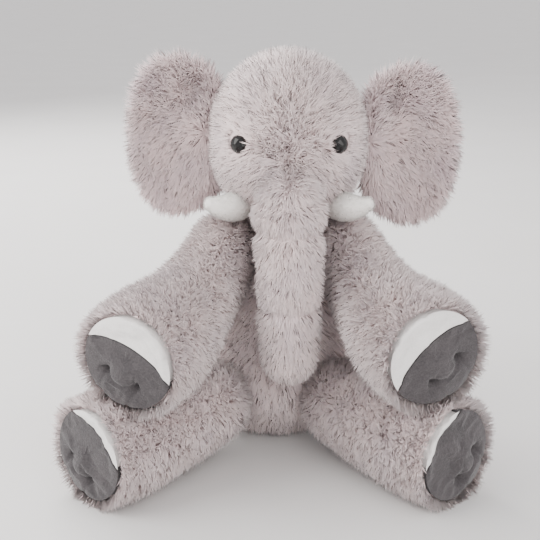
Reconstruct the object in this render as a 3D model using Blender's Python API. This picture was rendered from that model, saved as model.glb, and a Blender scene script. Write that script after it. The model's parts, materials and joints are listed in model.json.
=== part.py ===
"""A seated stuffed elephant, modelled as the pieces that a sewing room lays out and fills.

Metres, +Z up. It faces -Y and sits on the plane z = 0. "left" is the side at -X, which is on the left for
someone who looks at its face. Each stuffed part is a plush skin, open where it was filled, and the filling
inside it. A part that moves ends in a ball round its seam, seated in a shallow dish of its neighbour.
"""

import math

import bmesh
import bpy
from mathutils import Matrix, Vector

# How the pieces meet
GAP = 0.0004             # left between two pieces that touch
FILL_GAP = 0.0006        # left between a skin and its filling
DISH = 0.006             # how deep a ball end sits in its neighbour's skin
RIM_CLEARANCE = 0.001    # between the neck's ball and the openings that it sits in

# Cloth thicknesses, backing and pile together
PILE = 0.010
EAR_PILE = 0.006
NECK_PILE = 0.004
TUSK_PILE = 0.003
SOLE_PILE = 0.003
THREAD_ROOM = 0.0030     # between a sole and the filling, where the tufting thread lies
THREAD_RADIUS = 0.0005

# Torso
TORSO_RADIUS = 0.084
BASE_RADIUS = 0.050
NECK_HEIGHT = 0.236
NECK_LEAN = Vector((0.016, -0.008))
NECK_BALL = 0.034
TORSO_RIM_DROP = 0.010   # from the neck's centre down to the torso's opening

# Head
HEAD_RADIUS = 0.080
HEAD_HALF_HEIGHT = 1.05 * HEAD_RADIUS
HEAD_CENTRE = Vector((NECK_LEAN.x, -0.020, NECK_HEIGHT + HEAD_RADIUS))

# Eyes, each a dome with a stem through the skin and a washer on the stem
EYE_OFFSET = 0.625 * HEAD_RADIUS
EYE_DROP = 0.003
EYE_RADIUS = 0.0095
EYE_HEIGHT = 0.009
EYE_SEAT = 0.0065
STEM_RADIUS = 0.0022
STEM_LENGTH = 0.0130
WASHER_RADIUS = 0.008
WASHER_THICKNESS = 0.002

# Trunk
TRUNK_DROP = 0.525 * HEAD_RADIUS   # from the head's centre down to the middle of the trunk's seam
TRUNK_ROOT_RADIUS = 0.035
TRUNK_BEND_RADIUS = 0.030
TRUNK_END_RADIUS = 0.027
TRUNK_FORWARD = 0.012 + (TORSO_RADIUS + HEAD_RADIUS) / 2 + TRUNK_BEND_RADIUS
TRUNK_BEND = Vector((HEAD_CENTRE.x, -TRUNK_FORWARD, NECK_HEIGHT - 0.058))
TRUNK_END = Vector((HEAD_CENTRE.x, -TRUNK_FORWARD - 0.006, NECK_HEIGHT - 0.123))

# Tusks: the place of each seam on the face, and the tip from the root's centre
TUSK_OFFSET = 0.6125 * HEAD_RADIUS
TUSK_DROP = 0.62 * HEAD_RADIUS
TUSK_REACH = Vector((0.023, -0.025, 0.005))
TUSK_ROOT_RADIUS = 0.014
TUSK_TIP_RADIUS = 0.007
TUSK_SAG = 0.006

# Ears
EAR_HALF_WIDTH = 0.048
EAR_HALF_HEIGHT = 0.086
EAR_HALF_THICKNESS = 0.013
EAR_RAISE = {"left": -0.014, "right": -0.024}
EAR_SET_BACK = 0.008
EAR_TUCK = 0.005         # how far the ear's inner edge reaches past the head's side
EAR_CLEARANCE = 0.0024
EAR_SWEEP = math.radians(8)

# Front legs, called arms: the seam's height and bearing on the torso
ARM_HEIGHT = 0.83 * NECK_HEIGHT
ARM_BEARING = math.radians(56)
ARM_BALL = 0.033
ARM_FOOT_RADIUS = 0.049
ARM_SEAT_SHARE = 0.12    # how far the torso's dish is widened for an arm, from its ball's radius to its foot's

# Hind legs
LEG_BEARING = math.radians(35)
LEG_BALL = 0.041
LEG_HEIGHT = LEG_BALL + 0.011
LEG_FOOT_RADIUS = 0.048

# Feet: the hind feet lie on the floor, and the front feet rest on them
LEG_FOOT_LIFT = LEG_FOOT_RADIUS + 0.0005
LEG_FOOT_SPREAD = TORSO_RADIUS + 0.079
LEG_FEET = {
    side: Vector((sign * LEG_FOOT_SPREAD, -TORSO_RADIUS - 0.121, LEG_FOOT_LIFT))
    for side, sign in (("left", -1), ("right", 1))
}
ARM_FOOT_LIFT = 2 * LEG_FOOT_RADIUS + ARM_FOOT_RADIUS
ARM_FEET = {
    "left": Vector((-1.2 * TORSO_RADIUS - 0.023, -TORSO_RADIUS - 0.129, ARM_FOOT_LIFT - 0.005)),
    "right": Vector((1.2 * TORSO_RADIUS + 0.038, -TORSO_RADIUS - 0.129, ARM_FOOT_LIFT)),
}
LIMB_BEND = {"arm": math.radians(30), "leg": math.radians(8)}
FOOT_RIM = 0.018         # length over which a foot rounds in to its sole
SOLE_INSET = 0.006       # from the foot's widest radius to its sole's
SOLE_DOME = 0.005
TOE_TURN = {"arm": math.radians(35), "leg": math.radians(45)}
TOE_CHORD = 0.42         # where the white panel starts, as a share of the sole's radius
TOE_ARC = 1.8            # radius of that edge, as a share of the sole's radius
TUFTS = (0.016, -0.017)

# Tail
TAIL_ROOT_HEIGHT = 0.078
TAIL_BALL = 0.008
TAIL_TUFT = 0.011
TAIL_LENGTH = 0.050
TAIL_PILE = 0.003

# Closing seam on the back
SEAM_LOW = 0.095
SEAM_HIGH = 0.150

SIDES = {"left": -1, "right": 1}
ROUND = 20               # sides of the large round pieces
SLIM = 16                # sides of limbs and smaller pieces
FINE = 12                # sides of tusks, tail and eyes


def clear_scene():
    for obj in list(bpy.data.objects):
        bpy.data.objects.remove(obj, do_unlink=True)


def material(name, colour, roughness):
    """A Principled material, made once for each name."""
    found = bpy.data.materials.get(name)
    if found:
        return found
    made = bpy.data.materials.new(name)
    made.use_nodes = True
    shader = made.node_tree.nodes["Principled BSDF"]
    shader.inputs["Base Color"].default_value = (*colour, 1.0)
    shader.inputs["Roughness"].default_value = roughness
    shader.inputs["Metallic"].default_value = 0.0
    return made


GREY_PLUSH = material("grey_plush", (0.56, 0.50, 0.52), 0.95)
EAR_PLUSH = material("ear_plush", (0.50, 0.42, 0.45), 0.95)
WHITE_PLUSH = material("white_plush", (0.82, 0.81, 0.82), 0.95)
TUSK_PLUSH = material("tusk_plush", (0.80, 0.77, 0.73), 0.9)
SOLE_VELVET = material("sole_velvet", (0.27, 0.25, 0.26), 0.8)
EYE_PLASTIC = material("eye_plastic", (0.01, 0.01, 0.01), 0.1)
WASHER_PLASTIC = material("washer_plastic", (0.75, 0.75, 0.73), 0.5)
STUFFING = material("stuffing", (0.90, 0.90, 0.88), 1.0)
THREAD = material("thread", (0.45, 0.42, 0.43), 0.8)


def mix(low, high, share):
    return low + (high - low) * share


def linked(name, mesh, finish):
    """A new object that holds this mesh."""
    if finish:
        mesh.materials.append(finish)
    obj = bpy.data.objects.new(name, mesh)
    bpy.context.scene.collection.objects.link(obj)
    return obj


def turned(name, outline, sides, finish):
    """A solid turned about local Z from (radius, height) points.

    The outline either runs from axis to axis or, where no point is on the axis, closes on itself as a ring.
    """
    shape = bmesh.new()
    points = [shape.verts.new((radius, 0.0, height)) for radius, height in outline]
    pairs = list(zip(points, points[1:]))
    if min(radius for radius, height in outline) > 0.0:
        pairs.append((points[-1], points[0]))
    edges = [shape.edges.new(pair) for pair in pairs]
    bmesh.ops.spin(
        shape, geom=points + edges, cent=(0, 0, 0), axis=(0, 0, 1), angle=math.tau, steps=sides, use_merge=True
    )
    bmesh.ops.remove_doubles(shape, verts=shape.verts, dist=1e-6)
    bmesh.ops.recalc_face_normals(shape, faces=shape.faces)
    mesh = bpy.data.meshes.new(name)
    shape.to_mesh(mesh)
    shape.free()
    mesh.shade_smooth()
    mesh.set_sharp_from_angle(angle=math.radians(40))
    return linked(name, mesh, finish)


def facing(origin, towards):
    """The frame at origin whose Z runs towards a point, with its Y as near to upright as it can be."""
    turn = (towards - origin).to_track_quat("Z", "Y")
    return Matrix.Translation(origin) @ turn.to_matrix().to_4x4()


def round_end(radius, start, steps, centre=0.0):
    """Points on a sphere's outline from this angle up to its equator, the lowest pole being -90 degrees."""
    angles = [mix(start, 0.0, step / steps) for step in range(steps + 1)]
    return [(radius * math.cos(angle), centre + radius * math.sin(angle)) for angle in angles]


def on_axis(points):
    """The outline with its ends put exactly on the axis."""
    return [(0.0, points[0][1]), *points[1:-1], (0.0, points[-1][1])]


def cut(obj, cutter, operation="DIFFERENCE"):
    modifier = obj.modifiers.new(cutter.name, "BOOLEAN")
    modifier.operation = operation
    modifier.solver = "EXACT"
    modifier.object = cutter
    cutter.hide_render = True
    cutter.display_type = "WIRE"


def ball_cutter(name, centre, radius):
    """A sphere whose flat faces still clear a ball of this radius."""
    sides = 24
    reach = (radius + GAP) / math.cos(math.pi / sides) ** 2
    half = round_end(reach, -math.pi / 2, 6)
    outline = on_axis([*half, *[(radius, -height) for radius, height in half[-2::-1]]])
    cutter = turned(name, outline, sides, None)
    cutter.location = centre
    return cutter


def rod_cutter(name, frame, radius, low, high):
    cutter = turned(name, [(0.0, low), (radius, low), (radius, high), (0.0, high)], FINE, None)
    cutter.matrix_world = frame
    return cutter


# Torso


def torso_outline(inset):
    """The pear's outline from the edge of its flat base up to its opening, inset by a cloth's thickness."""
    rim_height = NECK_HEIGHT - TORSO_RIM_DROP
    rim = NECK_BALL + RIM_CLEARANCE
    belly = 0.30 * rim_height
    angles = [math.pi / 2 * step / 5 for step in range(6)]
    low = [(mix(BASE_RADIUS, TORSO_RADIUS, math.sin(a)), belly * (1.0 - math.cos(a))) for a in angles]
    high = [
        (mix(rim, TORSO_RADIUS, math.cos(math.pi / 2 * step / 6) ** 1.25), mix(belly, rim_height, step / 6))
        for step in range(1, 7)
    ]
    outline = low + high
    if not inset:
        return outline
    moved = []
    for before, point, after in zip([(0.0, 0.0), *outline], outline, [*outline[1:], outline[-1]]):
        along = Vector((after[0] - before[0], after[1] - before[1])).normalized()
        moved.append((point[0] - inset * along.y, max(point[1] + inset * along.x, inset)))
    moved[-1] = (rim, moved[-1][1])
    return moved


def lean(obj):
    """Shears the torso, so that its opening is under the neck."""
    shear = Matrix.Identity(4)
    shear[0][2] = NECK_LEAN.x / NECK_HEIGHT
    shear[1][2] = NECK_LEAN.y / NECK_HEIGHT
    obj.data.transform(shear)


def torso_radius(height):
    """The torso's outer radius at a height."""
    outline = torso_outline(0.0)
    for (r0, z0), (r1, z1) in zip(outline, outline[1:]):
        if z0 <= height <= z1:
            return mix(r0, r1, (height - z0) / (z1 - z0))
    return outline[-1][0]


def on_torso(height, bearing, stand_off):
    """A point at a distance off the torso's side; bearing 0 is straight ahead, and positive is towards +X."""
    reach = torso_radius(height) + stand_off
    share = height / NECK_HEIGHT
    return Vector((
        NECK_LEAN.x * share + reach * math.sin(bearing),
        NECK_LEAN.y * share - reach * math.cos(bearing),
        height,
    ))


NECK = Vector((NECK_LEAN.x, NECK_LEAN.y, NECK_HEIGHT))


def make_torso(balls):
    inner = torso_outline(PILE)
    skin = turned(
        "torso_skin", [(0.0, 0.0), *torso_outline(0.0), *reversed(inner), (0.0, PILE)], ROUND, GREY_PLUSH
    )
    lean(skin)
    for name, centre, radius in balls:
        cut(skin, ball_cutter(name + "_dish", centre, radius))
    filling_outline = torso_outline(PILE + FILL_GAP)
    top = filling_outline[-2][1]
    filling = turned(
        "torso_stuffing",
        [(0.0, PILE + FILL_GAP), *filling_outline[:-1], (0.0, top)], ROUND, STUFFING,
    )
    lean(filling)
    cut(filling, ball_cutter("neck_dish", NECK, NECK_BALL))


def make_seam():
    """The ladder stitch that closed the back: a zigzag laid just off the skin."""
    curve = bpy.data.curves.new("closing_seam_thread", "CURVE")
    curve.dimensions = "3D"
    curve.bevel_depth = THREAD_RADIUS
    curve.bevel_resolution = 1
    curve.use_fill_caps = True
    stitches = 11
    spline = curve.splines.new("POLY")
    spline.points.add(stitches)
    for step, point in enumerate(spline.points):
        height = mix(SEAM_LOW, SEAM_HIGH, step / stitches)
        side = 0.002 * (-1) ** step
        place = on_torso(height, math.pi, GAP + 2.0 * THREAD_RADIUS)
        point.co = (place.x + side, place.y, place.z, 1.0)
    curve.materials.append(THREAD)
    seam = bpy.data.objects.new("closing_seam_thread", curve)
    bpy.context.scene.collection.objects.link(seam)


# Neck and head


def make_neck():
    def band(radius):
        """A ball's outline between two openings, from the lower one to the upper one."""
        edge = math.radians(62)
        angles = [mix(-edge, edge, step / 6) for step in range(7)]
        return [(radius * math.cos(angle), radius * math.sin(angle)) for angle in angles]

    skin = turned("neck_skin", [*band(NECK_BALL), *reversed(band(NECK_BALL - NECK_PILE))], ROUND, GREY_PLUSH)
    inside = band(NECK_BALL - NECK_PILE - FILL_GAP)
    ends = ((0.0, inside[0][1]), (0.0, inside[-1][1]))
    filling = turned("neck_stuffing", [ends[0], *inside, ends[1]], ROUND, STUFFING)
    for obj in (skin, filling):
        obj.location = NECK


HEAD_FRAME = facing(NECK, HEAD_CENTRE)
HEAD_REACH = (HEAD_CENTRE - NECK).length


def head_outline(inset, opening):
    """The head's outline from its opening, or from its lowest point, up to its crown."""
    wide = HEAD_RADIUS - inset
    tall = HEAD_HALF_HEIGHT - inset
    start = math.asin(opening / wide)
    angles = [mix(start, math.pi, step / 12) for step in range(13)]
    return [(wide * math.sin(angle), HEAD_REACH - tall * math.cos(angle)) for angle in angles]


def on_head(offset, rise):
    """The frame on the face at this sideways offset and rise from the head's centre, with Z outwards."""
    depth = HEAD_RADIUS * math.sqrt(1.0 - (offset / HEAD_RADIUS) ** 2 - (rise / HEAD_HALF_HEIGHT) ** 2)
    point = Vector((offset, -depth, rise))
    scale = Vector((HEAD_RADIUS, HEAD_RADIUS, HEAD_HALF_HEIGHT))
    outward = Vector([value / size ** 2 for value, size in zip(point, scale)])
    turn = HEAD_FRAME.to_3x3()
    centre = HEAD_FRAME @ Vector((0.0, 0.0, HEAD_REACH))
    square = turn @ Matrix.Rotation(head_heading(), 3, "Z")
    place = centre + square @ point
    return facing(place, place + square @ outward)


def head_heading():
    """The turn about the head's own axis that brings its -Y to face the front."""
    front = HEAD_FRAME.to_3x3().inverted() @ Vector((0.0, -1.0, 0.0))
    return math.atan2(front.y, front.x) + math.pi / 2


def make_eye(side, skin, filling):
    frame = on_head(SIDES[side] * EYE_OFFSET, -EYE_DROP)
    floor = -EYE_SEAT + GAP
    dome = [
        (EYE_RADIUS * math.cos(math.pi / 2 * step / 5), floor + EYE_HEIGHT * math.sin(math.pi / 2 * step / 5))
        for step in range(6)
    ]
    eye = turned(
        "eye_" + side,
        on_axis([(0.0, floor - STEM_LENGTH), (STEM_RADIUS, floor - STEM_LENGTH), (STEM_RADIUS, floor), *dome]),
        FINE, EYE_PLASTIC,
    )
    inside = HEAD_RADIUS - PILE
    hollow = WASHER_RADIUS ** 2 / inside + inside * (1.0 - math.cos(math.pi / ROUND))
    top = -PILE - hollow - GAP
    under = top - WASHER_THICKNESS
    bore = STEM_RADIUS + 2.0 * GAP
    washer = turned(
        "eye_washer_" + side,
        [(bore, under), (WASHER_RADIUS, under), (WASHER_RADIUS, top), (bore, top)], FINE, WASHER_PLASTIC,
    )
    for obj in (eye, washer):
        obj.matrix_world = frame
    cut(skin, rod_cutter("eye_seat_" + side, frame, EYE_RADIUS + 2.0 * GAP, -EYE_SEAT, PILE))
    cut(skin, rod_cutter("stem_hole_" + side, frame, bore, -2.0 * PILE, PILE))
    pocket_floor = floor - STEM_LENGTH - GAP
    cut(filling, rod_cutter("washer_pocket_" + side, frame, WASHER_RADIUS + 2.0 * GAP, pocket_floor, 0.0))


def seated(offset, rise, radius):
    """The centre of a ball of this radius that sits in its dish on the face."""
    return on_head(offset, rise) @ Vector((0.0, 0.0, radius - DISH))


TRUNK_ROOT = seated(0.0, -TRUNK_DROP, TRUNK_ROOT_RADIUS)


def tusk_points(side):
    """The tusk's root and tip centres."""
    root = seated(SIDES[side] * TUSK_OFFSET, -TUSK_DROP, TUSK_ROOT_RADIUS)
    return root, root + TUSK_REACH * Vector((SIDES[side], 1.0, 1.0))


def tapered_outline(root, end, length, inset, opening):
    """A ball, a cone and a smaller ball in one outline, open by this radius at the root's pole."""
    first = root - inset
    last = end - inset
    start = -math.acos(opening / first) if opening else -math.pi / 2
    body = [(mix(first, last, share), length * share) for share in (0.33, 0.67)]
    tip = [(radius, length - height) for radius, height in round_end(last, -math.pi / 2, 4)[::-1]]
    return [*round_end(first, start, 4), *body, *tip]


def sagged(obj, length, depth):
    """Bends a piece down in the middle of its length, by a parabola."""
    for vert in obj.data.vertices:
        share = min(max(vert.co.z / length, 0.0), 1.0)
        vert.co.y -= 4.0 * depth * share * (1.0 - share)


def tapered_pair(name, suffix, root, end, radii, pile, sides, finish, sag=0.0):
    """The skin and filling of a tapered part between two points."""
    length = (end - root).length
    opening = 0.4 * (radii[0] - pile)
    outer = tapered_outline(*radii, length, 0.0, opening)
    inner = tapered_outline(*radii, length, pile, opening)
    ends = ((0.0, outer[-1][1]), (0.0, inner[-1][1]))
    skin = turned(
        name + "_skin" + suffix, [ends[0], *outer[-2::-1], *inner[:-1], ends[1]], sides, finish
    )
    inside = on_axis(tapered_outline(*radii, length, pile + FILL_GAP, 0.0))
    filling = turned(name + "_stuffing" + suffix, inside, sides, STUFFING)
    for obj in (skin, filling):
        if sag:
            sagged(obj, length, sag)
        obj.matrix_world = facing(root, end)
    return skin


def make_head():
    opening = NECK_BALL + RIM_CLEARANCE
    outer = head_outline(0.0, opening)
    inner = head_outline(PILE, opening)
    skin = turned(
        "head_skin", [(0.0, outer[-1][1]), *outer[-2::-1], *inner[:-1], (0.0, inner[-1][1])], ROUND, GREY_PLUSH
    )
    lowest = HEAD_REACH - HEAD_HALF_HEIGHT + PILE + FILL_GAP
    filling_side = head_outline(PILE + FILL_GAP, opening)
    filling = turned("head_stuffing", on_axis([(0.0, lowest), *filling_side]), ROUND, STUFFING)
    for obj in (skin, filling):
        obj.matrix_world = HEAD_FRAME
    cut(filling, ball_cutter("neck_top_dish", NECK, NECK_BALL))
    cut(skin, ball_cutter("trunk_dish", TRUNK_ROOT, TRUNK_ROOT_RADIUS))
    for side in SIDES:
        root, tip = tusk_points(side)
        radii = (TUSK_ROOT_RADIUS, TUSK_TIP_RADIUS)
        tapered_pair("tusk", "_" + side, root, tip, radii, TUSK_PILE, FINE, TUSK_PLUSH, TUSK_SAG)
        cut(skin, ball_cutter("tusk_dish_" + side, root, TUSK_ROOT_RADIUS))
        make_eye(side, skin, filling)


# Trunk


def make_trunk():
    upper_length = (TRUNK_BEND - TRUNK_ROOT).length
    cap = TRUNK_BEND_RADIUS - DISH
    corner = 0.008

    def upper_outline(inset, opening):
        """A ball that tapers to a flat end with a rounded edge, just short of the bend's ball."""
        first = TRUNK_ROOT_RADIUS - inset
        last = TRUNK_BEND_RADIUS + 0.001 - inset
        start = -math.acos(opening / first) if opening else -math.pi / 2
        end = upper_length - cap - inset
        edge = [(last - corner + corner * math.cos(a), end - corner + corner * math.sin(a)) for a in
                (0.0, math.pi / 6, math.pi / 3, math.pi / 2)]
        return [*round_end(first, start, 4), *edge, (0.0, end)]

    opening = 0.010
    outer = upper_outline(0.0, opening)
    inner = upper_outline(PILE, opening)
    skin = turned("trunk_upper_skin", [*outer[::-1], *inner], SLIM, GREY_PLUSH)
    filling = turned("trunk_upper_stuffing", on_axis(upper_outline(PILE + FILL_GAP, 0.0)), SLIM, STUFFING)
    for obj in (skin, filling):
        obj.matrix_world = facing(TRUNK_ROOT, TRUNK_BEND)
    cut(skin, ball_cutter("trunk_bend_dish", TRUNK_BEND, TRUNK_BEND_RADIUS))
    radii = (TRUNK_BEND_RADIUS, TRUNK_END_RADIUS)
    tapered_pair("trunk_lower", "", TRUNK_BEND, TRUNK_END, radii, PILE, SLIM, GREY_PLUSH)


# Ears


def lens(name, half_width, half_height, half_thickness, sides, finish):
    """A lens-shaped solid that stands in the XZ plane."""
    shape = bmesh.new()
    bmesh.ops.create_uvsphere(shape, u_segments=sides, v_segments=8, radius=1.0)
    bmesh.ops.rotate(shape, verts=shape.verts, cent=(0, 0, 0), matrix=Matrix.Rotation(math.pi / 2, 3, "X"))
    bmesh.ops.scale(shape, vec=(half_width, half_thickness, half_height), verts=shape.verts)
    mesh = bpy.data.meshes.new(name)
    shape.to_mesh(mesh)
    shape.free()
    mesh.shade_smooth()
    return linked(name, mesh, finish)


def ear_hinge(side):
    """The point on the head's side that the ear turns about."""
    return HEAD_CENTRE + Vector((
        SIDES[side] * (HEAD_RADIUS + EAR_CLEARANCE), EAR_SET_BACK, EAR_RAISE[side],
    ))


def half_space(name, frame, sign):
    """A box that fills the front (-1) or the back (+1) of an ear's frame, up to its middle plane."""
    size = 4.0 * EAR_HALF_HEIGHT
    shape = bmesh.new()
    bmesh.ops.create_cube(shape, size=size)
    bmesh.ops.translate(shape, verts=shape.verts, vec=(0.0, sign * (size / 2.0 + GAP / 2.0), 0.0))
    mesh = bpy.data.meshes.new(name)
    shape.to_mesh(mesh)
    shape.free()
    box = linked(name, mesh, None)
    box.matrix_world = frame
    return box


def make_ear(side):
    hinge = ear_hinge(side)
    sign = SIDES[side]
    turn = Matrix.Rotation(sign * EAR_SWEEP, 4, "Z")
    frame = Matrix.Translation(hinge) @ turn
    shift = Matrix.Translation((sign * (EAR_HALF_WIDTH - EAR_TUCK), 0.0, 0.0))
    head = turned("ear_head_cutter_" + side, on_axis(head_outline(-EAR_CLEARANCE, 0.0)), ROUND, None)
    head.matrix_world = HEAD_FRAME
    inner_sizes = [size - EAR_PILE for size in (EAR_HALF_WIDTH, EAR_HALF_HEIGHT, EAR_HALF_THICKNESS)]
    hollow = lens("ear_hollow_" + side, *[size + FILL_GAP for size in inner_sizes], ROUND, None)
    padding = lens("ear_padding_" + side, *inner_sizes, ROUND, STUFFING)
    for obj in (hollow, padding):
        obj.data.transform(shift)
        obj.matrix_world = frame
    for name, half in (("ear_front_", -1), ("ear_back_", 1)):
        panel = lens(name + side, EAR_HALF_WIDTH, EAR_HALF_HEIGHT, EAR_HALF_THICKNESS, ROUND, EAR_PLUSH)
        panel.data.transform(shift)
        panel.matrix_world = frame
        cut(panel, half_space(name + "half_" + side, frame, half), "INTERSECT")
        cut(panel, hollow)
        cut(panel, head)
    cut(padding, head)


# Limbs


def limb_outline(ball, foot, length, inset):
    """A limb's side from its ball's pole to the start of its rounded foot edge."""
    body = [
        (mix(ball, foot, share ** 1.5) - inset, (length - FOOT_RIM) * share) for share in (0.35, 0.7, 1.0)
    ]
    return [*round_end(ball - inset, -math.pi / 2, 4), *body]


def bend_frame(height, length, angle):
    """The frame at this height of a limb that bends upwards evenly between its ball and its foot."""
    turned_by = Matrix.Rotation(angle * (0.5 - min(max(height / length, 0.0), 1.0)), 4, "X")
    if height <= 0.0:
        return turned_by
    radius = length / angle * (angle / 2.0) / math.sin(angle / 2.0)
    share = min(height / length, 1.0)
    heading = angle * (0.5 - share)
    along = radius * (math.sin(angle / 2.0) - math.sin(heading))
    up = radius * (math.cos(angle / 2.0) - math.cos(heading))
    return Matrix.Translation((0.0, up, along)) @ turned_by


def bent(obj, length, angle):
    """Bends a limb's mesh; its ball and what is past the foot's middle turn without changing shape."""
    for vert in obj.data.vertices:
        height = vert.co.z
        middle = min(max(height, 0.0), length)
        vert.co = bend_frame(middle, length, angle) @ Vector((vert.co.x, vert.co.y, height - middle))


def make_limb(kind, side, root, end, ball, foot):
    """A limb from its seam's ball to its foot: skin, filling, sole, white toe panel and tufting thread."""
    length = (end - root).length
    sole = foot - SOLE_INSET
    frame = facing(root, end)
    rim = sole + GAP
    edge = [
        (mix(rim, foot, math.cos(angle)), length - FOOT_RIM * (1.0 - math.sin(angle)))
        for angle in (math.radians(30), math.radians(60), math.radians(90))
    ]
    outer = [*limb_outline(ball, foot, length, 0.0), *edge]
    inner = [*limb_outline(ball, foot, length, PILE), (rim, length - 2.0 * SOLE_PILE)]
    outer[0] = (0.0, outer[0][1])
    inner[0] = (0.0, inner[0][1])
    skin = turned(f"{kind}_skin_{side}", [*outer, *reversed(inner)], SLIM, GREY_PLUSH)
    under = length - SOLE_PILE - THREAD_ROOM
    filling_end = [(sole - 0.002, under), (0.5 * sole, under + 0.75 * SOLE_DOME), (0.0, under + SOLE_DOME)]
    filling_side = limb_outline(ball, foot, length, PILE + FILL_GAP)
    filling = turned(f"{kind}_stuffing_{side}", on_axis([*filling_side, *filling_end]), SLIM, STUFFING)
    for obj in (skin, filling):
        bent(obj, length, LIMB_BEND[kind])
        obj.matrix_world = frame

    # One dished disc gives both panels: a large round cutter parts the sole from the toe panel above it.
    foot_frame = frame @ bend_frame(length, length, LIMB_BEND[kind])
    disc = [
        (0.0, SOLE_DOME), (0.5 * sole, 0.75 * SOLE_DOME), (sole, 0.0),
        (sole, -SOLE_PILE), (0.5 * sole, 0.75 * SOLE_DOME - SOLE_PILE), (0.0, SOLE_DOME - SOLE_PILE),
    ]
    toe_frame = foot_frame @ Matrix.Rotation(SIDES[side] * TOE_TURN[kind], 4, "Z")
    arc = TOE_ARC * sole
    centre = Matrix.Translation((0.0, TOE_CHORD * sole - arc, 0.0))
    panels = (
        (f"{kind}_sole_{side}", SOLE_VELVET, "INTERSECT", arc),
        (f"{kind}_toe_panel_{side}", WHITE_PLUSH, "DIFFERENCE", arc + GAP),
    )
    for name, finish, operation, radius in panels:
        panel = turned(name, disc, SLIM, finish)
        panel.matrix_world = foot_frame
        column = [(0.0, -sole), (radius, -sole), (radius, sole), (0.0, sole)]
        cutter = turned(name + "_cutter", column, 2 * ROUND, None)
        cutter.matrix_world = toe_frame @ centre
        cut(panel, cutter, operation)

    across, down = TUFTS
    rise = SOLE_DOME * mix(1.0, 0.5, math.hypot(down, across / 2.0) / sole)
    thread = turned(
        f"{kind}_tuft_thread_{side}",
        [(0.0, -across), (THREAD_RADIUS, -across), (THREAD_RADIUS, across), (0.0, across)], 8, THREAD,
    )
    height = rise - SOLE_PILE - 0.6 * THREAD_ROOM
    lie = Matrix.Translation((0.0, down, height)) @ Matrix.Rotation(math.pi / 2, 4, "Y")
    thread.matrix_world = toe_frame @ lie


def limb_root(kind, side):
    """The centre of a limb's ball, sunk by the dish's depth in the torso."""
    height, bearing, ball = {
        "arm": (ARM_HEIGHT, ARM_BEARING, ARM_BALL), "leg": (LEG_HEIGHT, LEG_BEARING, LEG_BALL),
    }[kind]
    return on_torso(height, SIDES[side] * bearing, ball - DISH)


def tail_points():
    root = on_torso(TAIL_ROOT_HEIGHT, math.pi, TAIL_BALL + GAP)
    return root, root + Vector((0.0, 0.60, -0.80)) * TAIL_LENGTH


def build():
    clear_scene()
    tail_root, tail_end = tail_points()
    balls = []
    for side in SIDES:
        arm = limb_root("arm", side)
        leg = limb_root("leg", side)
        make_limb("arm", side, arm, ARM_FEET[side], ARM_BALL, ARM_FOOT_RADIUS)
        make_limb("leg", side, leg, LEG_FEET[side], LEG_BALL, LEG_FOOT_RADIUS)
        seat = mix(ARM_BALL, ARM_FOOT_RADIUS, ARM_SEAT_SHARE)
        balls += [("arm_" + side, arm, seat), ("leg_" + side, leg, LEG_BALL)]
        make_ear(side)
    make_torso(balls)
    make_seam()
    make_neck()
    make_head()
    make_trunk()
    tapered_pair(
        "tail", "", tail_root, tail_end, (TAIL_BALL, TAIL_TUFT), TAIL_PILE, FINE, GREY_PLUSH
    )


build()
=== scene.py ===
"""The looks of a seated stuffed elephant: long plush, velvet soles, soft tusks and bead eyes, in metres.

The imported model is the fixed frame. Every plush piece is a sewn skin, worked out as a surface, and a coat of
small tapered locks that stand on it. The elephant faces -Y, and left is the side at -X.
"""

import json
import math

import bpy
import numpy as np
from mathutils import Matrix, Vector


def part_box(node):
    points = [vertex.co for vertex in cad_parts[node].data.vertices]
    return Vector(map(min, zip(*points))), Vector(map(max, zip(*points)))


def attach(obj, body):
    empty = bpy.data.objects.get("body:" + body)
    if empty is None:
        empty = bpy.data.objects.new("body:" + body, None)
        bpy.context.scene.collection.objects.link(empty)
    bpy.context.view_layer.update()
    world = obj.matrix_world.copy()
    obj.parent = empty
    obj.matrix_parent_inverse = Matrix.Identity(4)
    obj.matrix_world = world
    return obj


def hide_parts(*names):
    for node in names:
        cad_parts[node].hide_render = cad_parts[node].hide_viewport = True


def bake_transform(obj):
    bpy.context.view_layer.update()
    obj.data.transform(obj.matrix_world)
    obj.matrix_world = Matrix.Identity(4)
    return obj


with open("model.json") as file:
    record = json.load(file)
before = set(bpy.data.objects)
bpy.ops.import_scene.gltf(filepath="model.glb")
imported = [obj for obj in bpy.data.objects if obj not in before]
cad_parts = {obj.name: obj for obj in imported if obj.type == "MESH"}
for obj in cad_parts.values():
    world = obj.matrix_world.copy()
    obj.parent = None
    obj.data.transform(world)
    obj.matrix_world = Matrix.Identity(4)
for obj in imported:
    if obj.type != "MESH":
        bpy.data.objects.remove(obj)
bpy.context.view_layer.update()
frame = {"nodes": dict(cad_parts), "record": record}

joint_at = {joint["name"]: np.array(joint["pos_m"]) for joint in frame["record"]["behaviour"]["joints"]}
SIDES = {"left": -1.0, "right": 1.0}


# ---- Camera, floor and light ------------------------------------------------------------------------------
# A pale sweep of floor, a large soft window behind and above, and a weaker one in front. The camera looks
# slightly down, from a little under three times the elephant's height.

VIEW_TILT = math.radians(17.0)
VIEW_DISTANCE = 1.10
VIEW_FIELD = 0.566
AIM = Vector((-0.002, 0.0, 0.158))

camera = bpy.data.objects.new("camera", bpy.data.cameras.new("camera"))
camera.data.angle = 2.0 * math.atan(VIEW_FIELD / 2.0 / VIEW_DISTANCE)
camera.location = AIM + VIEW_DISTANCE * Vector((0.0, -math.cos(VIEW_TILT), math.sin(VIEW_TILT)))
camera.rotation_euler = (math.pi / 2.0 - VIEW_TILT, 0.0, 0.0)
bpy.context.scene.collection.objects.link(camera)
bpy.context.scene.camera = camera


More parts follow.
